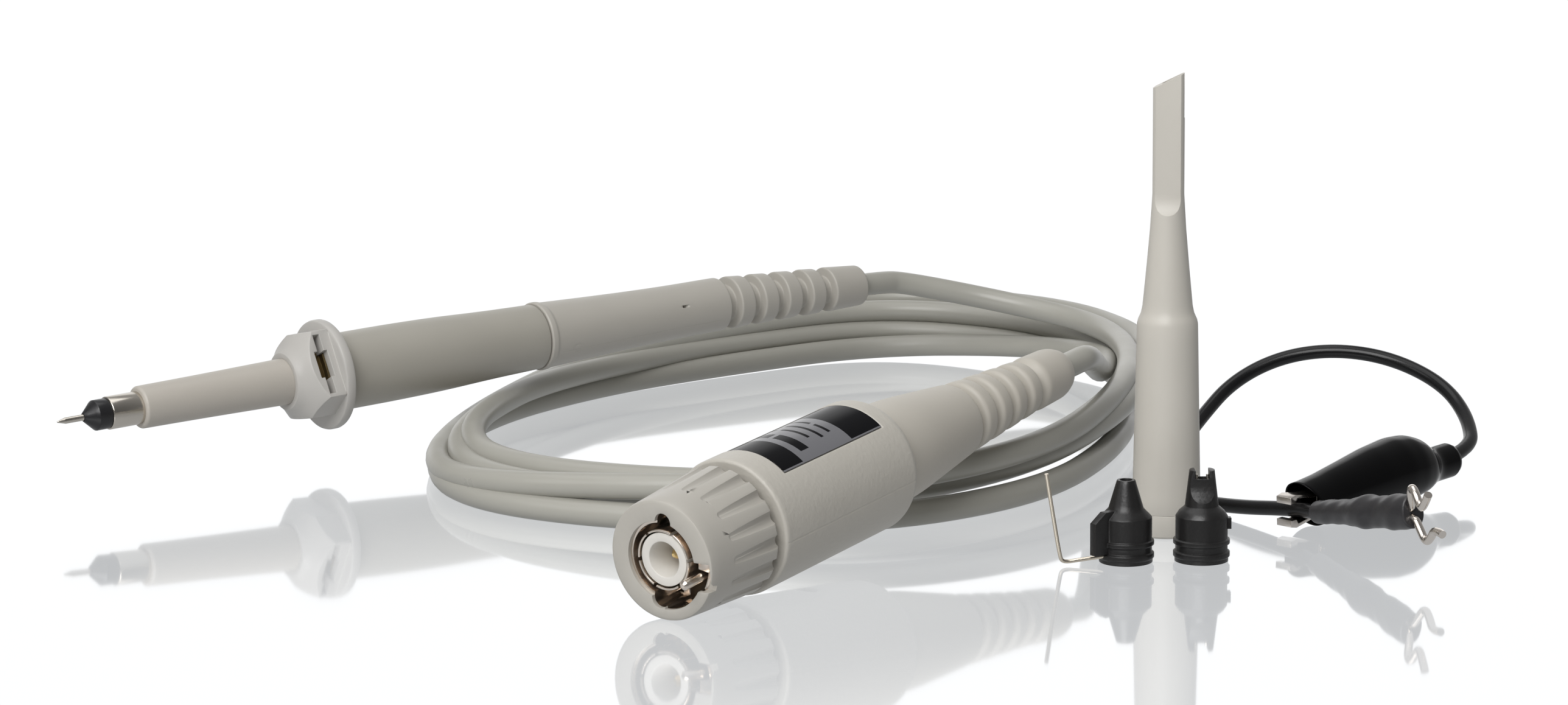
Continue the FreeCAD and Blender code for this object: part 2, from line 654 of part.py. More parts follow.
def along_clip(x):
    az = math.radians(CLIP_AZIMUTH)
    rise = math.radians(CLIP_RISE)
    flat = x * math.cos(rise)
    return (CLIP_MOUTH[0] + flat * math.cos(az), CLIP_MOUTH[1] + flat * math.sin(az),
            CLIP_MOUTH[2] + x * math.sin(rise))


LEAD_WIRE = (along_clip(25.0), along_clip(CLIP_L + 5.2), (125.7, 2.5, 8.5), (123.4, 11.0, 12.2),
             (116.6, 17.2, 15.2), (108.0, 19.2, 16.4), (99.5, 19.6, 15.2), (92.0, 17.5, 11.8),
             (86.5, 11.0, 7.4), (81.5, 2.0, 3.6), (79.6, -9.0, 1.6), (81.8, -18.5, 1.15), (88.0, -26.0, 1.7),
             (94.6, -33.0, 2.95), (97.6, -38.6, 3.6), (99.4, -43.0, 4.4))


def on_floor(points):
    return tuple((x, y, max(z, WIRE_D / 2)) for x, y, z in points)


SHRINK = ((97.7, -38.8, 3.65), (107.6, -59.5, 8.1))


def lead_heat_shrink():
    """Shrunk sleeve over the wire end and the fork, slightly bulged."""
    a, b = V(*SHRINK[0]), V(*SHRINK[1])
    length = (b - a).Length
    body = lathe_x([(0, 1.05), (0, 1.6), (3, 1.7), (9, 1.85), (13, 2.35), (16, 2.2), (19, 2.45), (length, 2.3),
                    (length, 1.6), (14, 1.6), (9, 1.05)])
    way = b - a
    azimuth = math.degrees(math.atan2(way.y, way.x))
    rise = math.degrees(math.asin(way.z / length))
    return place(body, SHRINK[0], azimuth, rise)


FORK_TOP = ((105.2, -54.6, 7.9), (107.0, -59.6, 9.8), (107.1, -61.5, 11.6), (107.9, -64.0, 9.9), (108.2, -66.6, 11.8))
FORK_LOW = ((105.2, -54.6, 6.2), (107.9, -60.2, 6.6), (108.9, -62.2, 4.9), (109.3, -64.6, 6.9), (110.3, -66.9, 6.6))


def bent_rod(points, radius):
    pieces = []
    pts = [V(*p) for p in points]
    for a, b in zip(pts, pts[1:]):
        pieces.append(Part.makeCylinder(radius, (b - a).Length, a, b - a))
    for p in pts:
        pieces.append(Part.makeSphere(radius, p))
    return pieces[0].fuse(pieces[1:]).removeSplitter()


def lead_fork_contact():
    top = bent_rod(FORK_TOP, 0.5)
    low = bent_rod(FORK_LOW, 0.5)
    web = bent_rod(((105.2, -54.6, 7.9), (105.2, -54.6, 6.2)), 0.5)
    tang = bent_rod(((105.2, -54.6, 7.05), (102.6, -49.3, 5.9)), 0.55)
    return top.fuse([low, web, tang]).removeSplitter()


HEAD_PARTS = (contact_needle, nose_insulator, ground_barrel, tip_dielectric, tip_resistor, tip_shaft,
              ground_collar, ground_socket_contact, front_barrel, rear_barrel_boot, head_crimp_ferrule,
              head_cable_core)
BOX_PARTS = (bayonet_nut, bayonet_sleeve, bayonet_wave_spring, bnc_body, bnc_outer_contact, bnc_dielectric,
             bnc_centre_pin, readout_pin, readout_pin_barrel, readout_pin_spring, box_housing, box_label,
             circuit_board, board_components, trimmer_body, trimmer_rotor, box_boot, box_crimp_ferrule,
             box_cable_core)
HOOK_PARTS = (hook_sleeve, hook_sleeve_ring, hook_core, hook_contact, hook_wire, hook_spring)
CLIP_PARTS = (clip_boot, clip_jaw_lower, clip_jaw_upper, clip_pivot_pin)
PLAIN_PARTS = (cable_coil, finned_cap, ground_whisker, forked_cap, forked_cap_pins, lead_heat_shrink,
               lead_fork_contact)

os.makedirs("parts", exist_ok=True)
for make in HEAD_PARTS:
    save(head_place(make()), make.__name__)
for make in BOX_PARTS:
    save(box_place(make()), make.__name__)
for make in HOOK_PARTS:
    save(at_hook(make()), make.__name__)
for make in CLIP_PARTS:
    save(clip_place(make()), make.__name__)
for make in PLAIN_PARTS:
    save(make(), make.__name__)
save(tube(HEAD_STRETCH, CABLE_D / 2), "cable_head_stretch")
save(tube(BOX_STRETCH, CABLE_D / 2), "cable_box_stretch")
save(tube(on_floor(LEAD_WIRE), WIRE_D / 2), "ground_lead_wire")
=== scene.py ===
import math

import bpy
import numpy as np
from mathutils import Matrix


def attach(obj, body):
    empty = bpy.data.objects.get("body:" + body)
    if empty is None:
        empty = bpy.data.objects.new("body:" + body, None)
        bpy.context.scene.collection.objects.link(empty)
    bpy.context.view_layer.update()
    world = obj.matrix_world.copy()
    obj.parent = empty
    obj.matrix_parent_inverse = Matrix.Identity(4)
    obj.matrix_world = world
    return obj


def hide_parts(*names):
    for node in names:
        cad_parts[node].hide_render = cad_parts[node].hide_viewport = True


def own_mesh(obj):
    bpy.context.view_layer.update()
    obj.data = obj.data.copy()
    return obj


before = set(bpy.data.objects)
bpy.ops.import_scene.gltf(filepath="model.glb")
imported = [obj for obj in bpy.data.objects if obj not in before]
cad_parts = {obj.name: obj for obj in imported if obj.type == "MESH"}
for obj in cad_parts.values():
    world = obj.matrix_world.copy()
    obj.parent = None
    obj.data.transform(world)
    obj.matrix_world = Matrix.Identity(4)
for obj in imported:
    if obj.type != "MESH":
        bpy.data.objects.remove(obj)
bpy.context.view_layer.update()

MM = 0.001

# Camera, floor and light -----------------------------------------------------
# White sweep lit from behind and above; the floor is bright and glossy, the
# viewer's side of the room is dim.

def mesh_piece(name, verts, faces, smooth=True):
    """Mesh object at the origin from points in metres and faces as corner numbers."""
    mesh = bpy.data.meshes.new(name)
    mesh.from_pydata(verts, [], faces)
    mesh.polygons.foreach_set("use_smooth", [smooth] * len(mesh.polygons))
    mesh.update()
    obj = bpy.data.objects.new(name, mesh)
    bpy.context.scene.collection.objects.link(obj)
    return obj


def wear(obj, *mats):
    """Gives a piece its materials, one slot each."""
    obj.data.materials.clear()
    for mat in mats:
        obj.data.materials.append(mat)


lens = bpy.data.cameras.new("camera")
lens.sensor_width = 36.0
lens.lens = 90.84
lens.clip_start = 0.01
eye = bpy.data.objects.new("camera", lens)
eye.rotation_mode = "ZYX"
eye.location = (0.0236, -0.577, 0.1219)
eye.rotation_euler = (math.radians(80.0), 0.0, math.radians(-0.6))
bpy.context.scene.collection.objects.link(eye)
bpy.context.scene.camera = eye

floor = mesh_piece("floor", [(-30, -8, 0), (30, -8, 0), (30, 60, 0), (-30, 60, 0)], [(0, 1, 2, 3)], False)
floor_mat = bpy.data.materials.new("floor_gloss")
floor_mat.use_nodes = True
tree = floor_mat.node_tree
tree.nodes.clear()
glow, mirror = tree.nodes.new("ShaderNodeEmission"), tree.nodes.new("ShaderNodeBsdfGlossy")
share, end = tree.nodes.new("ShaderNodeMixShader"), tree.nodes.new("ShaderNodeOutputMaterial")
glow.inputs["Color"].default_value = (0.96, 0.98, 1.0, 1)
seen, bounce = tree.nodes.new("ShaderNodeLightPath"), tree.nodes.new("ShaderNodeMapRange")
bounce.inputs["To Min"].default_value = 0.5
bounce.inputs["To Max"].default_value = 1.0
tree.links.new(seen.outputs["Is Camera Ray"], bounce.inputs["Value"])
tree.links.new(bounce.outputs[0], glow.inputs["Strength"])
mirror.inputs["Color"].default_value = (1, 1, 1, 1)
mirror.inputs["Roughness"].default_value = 0.05
graze, cube = tree.nodes.new("ShaderNodeLayerWeight"), tree.nodes.new("ShaderNodeMath")
graze.inputs["Blend"].default_value = 0.5
cube.operation = "POWER"
cube.inputs[1].default_value = 3.0
tree.links.new(graze.outputs["Facing"], cube.inputs[0])
tree.links.new(cube.outputs[0], share.inputs["Fac"])
tree.links.new(glow.outputs[0], share.inputs[1])
tree.links.new(mirror.outputs[0], share.inputs[2])
tree.links.new(share.outputs[0], end.inputs["Surface"])
wear(floor, floor_mat)

world = bpy.data.worlds.new("studio")
world.use_nodes = True
tree = world.node_tree
where, toward = tree.nodes.new("ShaderNodeTexCoord"), tree.nodes.new("ShaderNodeVectorMath")
wall, room = tree.nodes.new("ShaderNodeMapRange"), tree.nodes.new("ShaderNodeMapRange")
seen, most = tree.nodes.new("ShaderNodeLightPath"), tree.nodes.new("ShaderNodeMath")
whole = tree.nodes.new("ShaderNodeMath")
toward.operation = "DOT_PRODUCT"
toward.inputs[1].default_value = (0.0, 0.985, 0.174)
tree.links.new(where.outputs["Generated"], toward.inputs[0])
for node, low, high, dim, bright in ((wall, 0.80, 0.93, 0.0, 1.05), (room, -0.6, 0.9, 0.10, 0.38)):
    for key, value in (("From Min", low), ("From Max", high), ("To Min", dim), ("To Max", bright)):
        node.inputs[key].default_value = value
    tree.links.new(toward.outputs["Value"], node.inputs["Value"])
most.operation = whole.operation = "MAXIMUM"
tree.links.new(wall.outputs[0], most.inputs[0])
tree.links.new(room.outputs[0], most.inputs[1])
tree.links.new(seen.outputs["Is Camera Ray"], whole.inputs[0])
tree.links.new(most.outputs[0], whole.inputs[1])
tree.links.new(whole.outputs[0], tree.nodes["Background"].inputs["Strength"])
tree.nodes["Background"].inputs["Color"].default_value = (1.0, 1.0, 1.0, 1)
bpy.context.scene.world = world
bpy.context.scene.view_settings.view_transform = "Standard"

for name, size, power, spot, turn in (
        ("top_soft", 0.7, 2.0, (-0.15, 0.05, 0.8), (0, -10, 0)),
        ("front_soft", 0.8, 11.5, (-0.25, -0.85, 0.75), (48, 0, -16)),
        ("left_soft", 0.4, 0.7, (-0.7, -0.35, 0.45), (0, -62, 25))):
    lamp = bpy.data.lights.new(name, "AREA")
    lamp.size = size
    lamp.energy = power
    place = bpy.data.objects.new(name, lamp)
    place.location = spot
    place.rotation_euler = [math.radians(t) for t in turn]
    bpy.context.scene.collection.objects.link(place)


# Cable -----------------------------------------------------------------------
# One coaxial cable in soft grey vinyl: out of the box's strain relief, four
# loose turns on the floor, up and into the probe head's strain relief.

def axis_frame(origin, azimuth, rise):
    """Local +X runs along the piece at that azimuth from +X and that rise; sizes in mm, result in metres."""
    a, e = math.radians(azimuth), math.radians(rise)
    x = np.array([math.cos(e) * math.cos(a), math.cos(e) * math.sin(a), math.sin(e)])
    y = np.array([-math.sin(a), math.cos(a), 0.0])
    z = np.cross(x, y)
    o = np.array(origin)
    return lambda p: (o + p[..., :1] * x + p[..., 1:2] * y + p[..., 2:3] * z) * MM


def moulded_skin():
    """Node group: fine noise for the grain's bump, broad noise for uneven tone and gloss."""
    group = bpy.data.node_groups.new("moulded_skin", "ShaderNodeTree")
    for name, kind, value in (("Color", "NodeSocketColor", (0.3, 0.3, 0.27, 1)),
                              ("Roughness", "NodeSocketFloat", 0.4), ("Scale", "NodeSocketFloat", 2500.0),
                              ("Depth", "NodeSocketFloat", 0.00002), ("Mottle", "NodeSocketFloat", 0.04)):
        group.interface.new_socket(name, in_out="INPUT", socket_type=kind).default_value = value
    for name, kind in (("Color", "NodeSocketColor"), ("Roughness", "NodeSocketFloat"),
                       ("Normal", "NodeSocketVector")):
        group.interface.new_socket(name, in_out="OUTPUT", socket_type=kind)
    new, link = group.nodes.new, group.links.new
    given, out, where = new("NodeGroupInput"), new("NodeGroupOutput"), new("ShaderNodeTexCoord")
    grain, bump = new("ShaderNodeTexNoise"), new("ShaderNodeBump")
    grain.inputs["Detail"].default_value = 1.5
    link(where.outputs["Object"], grain.inputs["Vector"])
    link(given.outputs["Scale"], grain.inputs["Scale"])
    link(grain.outputs["Fac"], bump.inputs["Height"])
    link(given.outputs["Depth"], bump.inputs["Distance"])
    link(bump.outputs["Normal"], out.inputs["Normal"])
    broad, spread = new("ShaderNodeTexNoise"), new("ShaderNodeMath")
    broad.inputs["Scale"].default_value = 130.0
    broad.inputs["Detail"].default_value = 4.0
    link(where.outputs["Object"], broad.inputs["Vector"])
    spread.operation = "SUBTRACT"
    spread.inputs[1].default_value = 0.5
    link(broad.outputs["Fac"], spread.inputs[0])
    tone, tint = new("ShaderNodeMath"), new("ShaderNodeVectorMath")
    tone.operation = "MULTIPLY_ADD"
    tone.inputs[2].default_value = 1.0
    link(spread.outputs[0], tone.inputs[0])
    link(given.outputs["Mottle"], tone.inputs[1])
    tint.operation = "SCALE"
    link(given.outputs["Color"], tint.inputs[0])
    link(tone.outputs[0], tint.inputs["Scale"])
    link(tint.outputs[0], out.inputs["Color"])
    gloss = new("ShaderNodeMath")
    gloss.operation = "MULTIPLY_ADD"
    gloss.inputs[1].default_value = 0.25
    link(spread.outputs[0], gloss.inputs[0])
    link(given.outputs["Roughness"], gloss.inputs[2])
    link(gloss.outputs[0], out.inputs["Roughness"])
    return group


SKIN = moulded_skin()


def skinned(name, colour, rough, scale=2500.0, depth=0.00001, mottle=0.06, **extra):
    """Material over the moulded skin: grain size 1/scale metres, bump height depth metres."""
    mat = bpy.data.materials.new(name)
    mat.use_nodes = True
    tree = mat.node_tree
    shade = tree.nodes["Principled BSDF"]
    skin = tree.nodes.new("ShaderNodeGroup")
    skin.node_tree = SKIN
    for key, value in (("Color", (*colour, 1)), ("Roughness", rough), ("Scale", scale), ("Depth", depth),
                       ("Mottle", mottle)):
        skin.inputs[key].default_value = value
    for here, there in (("Color", "Base Color"), ("Roughness", "Roughness"), ("Normal", "Normal")):
        tree.links.new(skin.outputs[here], shade.inputs[there])
    for key, value in extra.items():
        shade.inputs[key.replace("_", " ")].default_value = value
    mat.diffuse_color = (*colour, 1)
    return mat


def add_line(curve, points, fine):
    """Smooth line of third order that starts and ends on its end points, given in mm."""
    line = curve.splines.new("NURBS")
    line.points.add(len(points) - 1)
    for point, p in zip(line.points, points):
        point.co = (p[0] * MM, p[1] * MM, p[2] * MM, 1)
    line.order_u = 3
    line.use_endpoint_u = True
    line.resolution_u = fine


def bend_cord(name, points, radius, fine=10):
    """Round cord along a smooth line near its points; sizes in mm."""
    curve = bpy.data.curves.new(name, "CURVE")
    curve.dimensions = "3D"
    curve.bevel_depth = radius * MM
    curve.bevel_resolution = 7
    curve.use_fill_caps = True
    add_line(curve, points, fine)
    obj = bpy.data.objects.new(name, curve)
    bpy.context.scene.collection.objects.link(obj)
    return obj


HEAD = axis_frame((-83.7, -3.8, 11.55), 37.0, 2.25)
BOX = axis_frame((7.61, -83.72, 8.03), 54.0, 6.1)
CABLE_R = 1.9
COIL_MIDDLE = (26.0, 40.0)
# One turn in plan, counter-clockwise from the right side.
LOOP = ((81.5, 50.0), (82.5, 78.0), (70.0, 104.0), (41.0, 117.0), (12.0, 98.0), (-9.0, 75.0), (-23.0, 47.0),
        (-28.0, 15.0), (-22.0, -12.0), (2.0, -27.0), (34.0, -31.0), (60.0, -14.0), (75.0, 17.0))
PER_TURN = len(LOOP)
# Shift outward and height of each turn at its right side, back, left and front.
SHIFTS = (-4.0, -8.0, 2.5, 3.5,
          -2.0, -4.0, -2.5, -7.5,
          -1.5, -3.0, -0.5, -3.0,
          1.0, 3.0, 3.0, 2.0,
          -1.5, -4.0)
HEIGHTS = (7.0, 2.0, 1.9, 1.9,
           2.0, 4.6, 5.8, 5.2,
           5.2, 8.2, 4.2, 3.8,
           8.6, 9.5, 1.9, 6.8,
           10.4, 13.0)


def quarter_value(table, quarters):
    """Table's value at that many quarter turns, eased from one entry to the next."""
    k = min(int(quarters), len(table) - 2)
    t = quarters - k
    t = t * t * (3 - 2 * t)
    return table[k] * (1 - t) + table[k + 1] * t


def coil_point(step):
    """Control point of the coil, counted in steps round the loop; each turn has its own shift and height."""
    x, y = LOOP[step % PER_TURN]
    quarters = 4.0 * step / PER_TURN
    out = quarter_value(SHIFTS, quarters)
    dx, dy = x - COIL_MIDDLE[0], y - COIL_MIDDLE[1]
    reach = math.hypot(dx, dy)
    return (x + out * dx / reach, y + out * dy / reach, quarter_value(HEIGHTS, quarters))


def on_axis(put, x, drop=0.0):
    """Point on a piece's axis at length x, lowered by drop; mm."""
    p = put(np.array([x, 0.0, 0.0])) / MM
    return (p[0], p[1], p[2] - drop)


turns = [coil_point(step) for step in range(1, 4 * PER_TURN + 1)]
route = ([on_axis(BOX, 96.0), on_axis(BOX, 100.0), on_axis(BOX, 104.5), (71.2, 19.5, 14.2), (73.8, 38.0, 9.8)]
         + turns
         + [(77.5, 82.0, 9.8), (63.0, 93.5, 11.8), on_axis(HEAD, 160.0, 1.9), on_axis(HEAD, 155.0, 1.3),
            on_axis(HEAD, 150.0, 1.12)])
cable = bend_cord("coax_cable", route, CABLE_R)
wear(cable, skinned("cable_skin", (0.35, 0.342, 0.305), 0.33, scale=900.0, depth=0.000006, mottle=0.05))
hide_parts("cable_coil", "cable_head_stretch", "cable_box_stretch")
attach(cable, "probe")
[c * MM for c in on_axis(BOX, 96.2)]


# Probe tip ---------------------------------------------------------------------
# Bare needle, black nose insulator and bright 5 mm barrel, then the slim
# moulded shaft; the shaft flares a little toward the collar.

def soften(points, size=0.25, steps=5):
    """Rounds an open outline's inner corners, each cut back by size or by 0.45 of its shorter side."""
    out = [points[0]]
    for before, here, after in zip(points, points[1:], points[2:]):
        a, b, c = (np.array(q[:2], float) for q in (before, here, after))
        cut = here[2] if len(here) > 2 else size
        la, lc = np.linalg.norm(a - b), np.linalg.norm(c - b)
        d = min(cut, 0.45 * la, 0.45 * lc)
        p, q = b + (a - b) / la * d, b + (c - b) / lc * d
        for t in np.linspace(0, 1, steps):
            out.append(tuple((1 - t) ** 2 * p + 2 * t * (1 - t) * b + t * t * q))
    out.append(points[-1][:2])
    return out


def filled(points, step):
    """The outline with long straight stretches divided into steps, so that dents have points to move."""
    out = [points[0][:2]]
    for a, b in zip(points, points[1:]):
        n = max(1, int(math.hypot(b[0] - a[0], b[1] - a[1]) / step))
        out += [(a[0] + (b[0] - a[0]) * k / n, a[1] + (b[1] - a[1]) * k / n) for k in range(1, n + 1)]
    return out


def sheet_faces(rows, cols, wrap_cols=True):
    """Quads between neighbours of a rows x cols grid; the last column meets the first when wrapped."""
    i, j = np.meshgrid(np.arange(rows - 1), np.arange(cols if wrap_cols else cols - 1), indexing="ij")
    here, beside = i * cols + j, i * cols + (j + 1) % cols
    return np.stack((here, beside, beside + cols, here + cols), axis=-1).reshape(-1, 4).tolist()


def turned(name, outline, put, angles=120, dent=None, bend=None):
    """Surface of revolution: the outline's (length, radius) points swept round local +X from the top.

    dent(along, degrees) is taken off the radius; bend(along) lifts the axis at that length.
    """
    prof = np.array([p[:2] for p in outline], float)
    ang = np.radians(np.linspace(0, 360, angles, endpoint=False) if isinstance(angles, int) else angles)
    x, a = np.meshgrid(prof[:, 0], ang, indexing="ij")
    r = np.repeat(prof[:, 1:], len(ang), axis=1)
    if dent:
        r = r - dent(x, np.degrees(a))
    lift = bend(x) if bend else 0.0
    verts = put(np.stack((x, -r * np.sin(a), r * np.cos(a) + lift), axis=-1)).reshape(-1, 3)
    return mesh_piece(name, verts, sheet_faces(len(prof), len(ang)))


def dress(node, mat, edge=0.12, limit=32):
    """Piece kept in its given shape: a material, joined seams and edges rounded by that many mm."""
    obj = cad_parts[node]
    if obj.material_slots:
        for slot in obj.material_slots:
            slot.material = mat
    else:
        obj.data.materials.append(mat)
    obj.data.polygons.foreach_set("use_smooth", [True] * len(obj.data.polygons))
    weld = obj.modifiers.new("weld", "WELD")
    weld.merge_threshold = 0.000002
    bevel = obj.modifiers.new("edges", "BEVEL")
    bevel.width = edge * MM
    bevel.segments = 3
    bevel.limit_method = "ANGLE"
    bevel.angle_limit = math.radians(limit)
    bevel.harden_normals = True
    return obj


STEEL = skinned("tip_steel", (0.62, 0.58, 0.52), 0.24, scale=3000.0, depth=0.000003, mottle=0.1, Metallic=1.0)
BLACK_NOSE = skinned("nose_black", (0.012, 0.012, 0.013), 0.3, scale=2600.0, depth=0.000004)
dress("contact_needle", STEEL, 0.03)
dress("nose_insulator", BLACK_NOSE, 0.1)
dress("ground_barrel", STEEL, 0.06)
SHAFT_GREY = (0.44, 0.41, 0.365)
shaft_outline = soften([(13.3, 2.3), (13.3, 2.95, 0.3), (13.6, 3.23, 0.3), (21, 3.3, 4), (29, 3.42, 4),
                        (37.7, 3.58, 2), (39.5, 3.58, 1)], 0.2)
shaft = turned("probe_shaft", filled(shaft_outline, 1.5), HEAD, 96)
wear(shaft, skinned("shaft_plastic", SHAFT_GREY, 0.42, scale=3200.0, depth=0.000006))
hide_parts("tip_shaft")
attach(shaft, "probe")

# Finger collar -------------------------------------------------------------------
# Moulded disc flange with a nut-like block in front; a spring contact in the
# block's slot takes the ground lead.

COLLAR_GREY = (0.44, 0.425, 0.40)
dress("ground_collar", skinned("collar_plastic", COLLAR_GREY, 0.4, scale=3200.0, depth=0.000006), 0.22)
dress("ground_socket_contact", skinned("dull_brass", (0.16, 0.12, 0.06), 0.45, Metallic=1.0), 0.05)


# Probe barrels ---------------------------------------------------------------------
# Front barrel tapers gently into the ring joint; the softer rear barrel runs
# on into the ribbed strain relief, which hangs a little at its end.

def window(value, low, high, edge):
    """1 inside low to high, 0 outside, with a soft wall of that width."""
    t = np.clip(np.minimum(value - low, high - value) / edge + 0.5, 0, 1)
    return t * t * (3 - 2 * t)


def droop(x):
    """Lowers the axis past the barrel: nothing at 119 mm, then curving into a steady slope."""
    past = np.maximum(0.0, x - 119.0)
    return -0.0384 * past ** 2 / (past + 4.0)


front_outline = soften([(46.2, 3.6), (46.2, 5.85, 0.2), (46.6, 6.0, 0.3), (57, 6.0, 4), (66, 5.85, 4),
                        (75.5, 5.42, 4), (84.4, 5.2, 0.3), (84.5, 4.3)], 0.2)
front = turned("front_barrel_shell", filled(front_outline, 1.5), HEAD, 120)
wear(front, skinned("front_barrel_plastic", (0.35, 0.333, 0.292), 0.42, scale=2800.0, depth=0.000007))
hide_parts("front_barrel")
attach(front, "probe")


def rear_dents(x, degrees):
    """Parting line low on the viewer's side, a moulding mark, a small pin hole."""
    low = 0.035 * window(degrees, 115.6, 116.6, 0.5) * window(x, 87, 119, 1.0)
    mark = np.hypot(x - 89.6, (degrees - 113) * 0.09)
    ring = 0.06 * window(mark, 0.55, 0.8, 0.15)
    hole = 0.9 * window(np.hypot(x - 111.4, (degrees - 70.5) * 0.08), -1, 0.28, 0.12)
    return low + ring + hole


rear_outline = [(84.52, 4.3), (84.5, 5.35, 0.1), (84.7, 5.5, 0.15), (85.5, 5.5, 0.2), (85.9, 5.3, 0.3),
                (94, 4.95, 4), (104, 4.6, 4), (111, 4.45, 3), (120.7, 4.4, 0.3), (120.95, 2.9, 0.25)]
for i, x in enumerate((122.0, 127.0, 132.0, 137.1, 142.2)):
    crest = 4.4 - 0.15 * i
    rear_outline += [(x + 0.65, crest - 1.5, 0.25), (x + 0.9, crest - 0.04, 0.3),
                     (x + 3.75, crest - 0.2, 0.3), (x + 4.05, crest - 1.65, 0.25)]
rear_outline = rear_outline[:-1] + [(149.9, 3.4, 0.4), (150.2, 3.1, 0.2), (150.2, 1.9, 0.1), (146, 1.9)]
fine = np.unique(np.concatenate((np.arange(0, 360, 3.0), np.arange(106, 121, 0.5), np.arange(64, 77, 0.5))))
rear = turned("rear_barrel_shell", filled(soften(rear_outline, 0.3, 6), 0.3), HEAD, fine, rear_dents, droop)
wear(rear, skinned("rear_barrel_plastic", (0.41, 0.39, 0.35), 0.42, scale=2500.0, depth=0.000008))
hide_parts("rear_barrel_boot")
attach(rear, "probe")


# Bayonet nut -----------------------------------------------------------------------
# Fluted plastic nut over a metal sleeve; the sprung coaxial plug, its white
# insulation, gold centre pin and the readout pin sit inside.

dress("bayonet_nut", skinned("nut_plastic", (0.42, 0.40, 0.36), 0.38, scale=2600.0, depth=0.00001), 0.3, 28)
NICKEL = skinned("plug_nickel", (0.78, 0.70, 0.62), 0.22, scale=2800.0, depth=0.000003, mottle=0.1,
                 Metallic=1.0)
dress("bayonet_sleeve", NICKEL, 0.08)
dress("bnc_body", NICKEL, 0.08)
dress("bnc_outer_contact", NICKEL, 0.06)
dress("bayonet_wave_spring", NICKEL, 0.03)
dress("bnc_dielectric", skinned("white_insulation", (0.66, 0.635, 0.59), 0.38), 0.1)
dress("bnc_centre_pin", skinned("pin_gold", (0.86, 0.64, 0.30), 0.2, Metallic=1.0), 0.04)
dress("readout_pin", skinned("readout_nickel", (0.80, 0.72, 0.64), 0.2, Metallic=1.0), 0.08)

# Compensation box --------------------------------------------------------------------
# Leather-grained housing with soft ends, a shallow recess for the label on
# top, a parting line along the side and the trimmer hole underneath.

BOX_R = 9.35
RECESS_FROM = 19.4
RECESS_TO = 42.0
RECESS_TURN = 42
TRIMMER_AT = 31.0


def box_dents(x, degrees):
    """0.3 mm label recess, 0.05 mm parting line, round hole to the trimmer below."""
    turn = (degrees + 180) % 360 - 180
    recess = 0.3 * window(x, RECESS_FROM, RECESS_TO, 0.3) * window(turn, -RECESS_TURN, RECESS_TURN, 2.0)
    seam = 0.05 * window(np.abs(turn), 95.6, 96.8, 0.6) * window(x, 15, 45, 1.0)
    below = np.hypot(x - TRIMMER_AT, (180 - np.abs(turn)) * math.radians(BOX_R))
    return recess + seam + 4.7 * window(below, -2, 1.45, 0.15)


shell_outline = soften([(14.8, 4.45), (14.8, 9.0, 0.25), (15.0, 9.27, 0.2), (15.4, BOX_R, 0.3)], 0.2)
fine_rows = [np.arange(e - 2, e + 2, 0.12) for e in (RECESS_FROM, TRIMMER_AT, RECESS_TO)]
rows = np.unique(np.round(np.concatenate([np.arange(15.6, 44.0, 0.7)] + fine_rows), 3))
shell_outline += [(x, BOX_R) for x in rows]
shell_outline += soften([(44.0, BOX_R), (44.5, BOX_R, 0.5), (45.3, 9.05, 0.5), (46.1, 8.35, 0.5),
                         (46.5, 7.45, 0.4), (46.5, 6.6)], 0.3)
fine_cols = [np.arange(e - 4, e + 4, 0.4) for e in (42, 96, 264, 318)] + [np.arange(168, 192, 0.8)]
cols = np.unique(np.round(np.concatenate([np.arange(0, 360, 3.0)] + fine_cols), 3))
housing = turned("box_shell", shell_outline, BOX, cols, box_dents)
leather = skinned("box_leather", (0.47, 0.447, 0.40), 0.44, scale=1500.0, depth=0.00006, mottle=0.05)
wear(housing, leather)
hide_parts("box_housing")
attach(housing, "probe")

# Box label ---------------------------------------------------------------------------
# Glossy wrap-round label with black end blocks and a grey middle that holds
# plain bars. A bar is its start, its end and its two angles round the box.

BARS = ((25.4, 27.2, -30, -4), (25.4, 27.2, 0, 30), (29.0, 29.6, -32, -12), (29.0, 29.6, -8, 20),
        (30.9, 31.5, -32, -16), (30.9, 31.5, -12, 26), (32.9, 33.5, -32, 4), (32.9, 33.5, 8, 24))
GREY_FROM = 24.0
GREY_TO = 35.2
PRINT_TURN = 39.5
LABEL_DEEP = 0.075
label_s = np.unique(np.round(np.concatenate((np.arange(19.5, 42, 0.5), (GREY_FROM, GREY_TO, 41.95),
                                             [b[0] for b in BARS], [b[1] for b in BARS])), 3))
label_a = np.unique(np.concatenate((np.arange(-41, 42, 2.0), [b[2] for b in BARS], [b[3] for b in BARS],
                                    (-PRINT_TURN, PRINT_TURN)))).astype(float)
s_grid, a_grid = np.meshgrid(label_s, label_a, indexing="ij")
radius = BOX_R - LABEL_DEEP
turn = np.radians(a_grid)
points = BOX(np.stack((s_grid, -radius * np.sin(turn), radius * np.cos(turn)), -1))
label = mesh_piece("box_label_wrap", points.reshape(-1, 3),
                   sheet_faces(len(label_s), len(label_a), wrap_cols=False))


def ink(s, a):
    """Slot 0 black, 1 grey, by the middle of a face at length s and angle a."""
    if abs(a) > PRINT_TURN:
        return 1
    barred = any(b[0] < s < b[1] and b[2] < a < b[3] for b in BARS)
    return 0 if s < GREY_FROM or s > GREY_TO or barred else 1


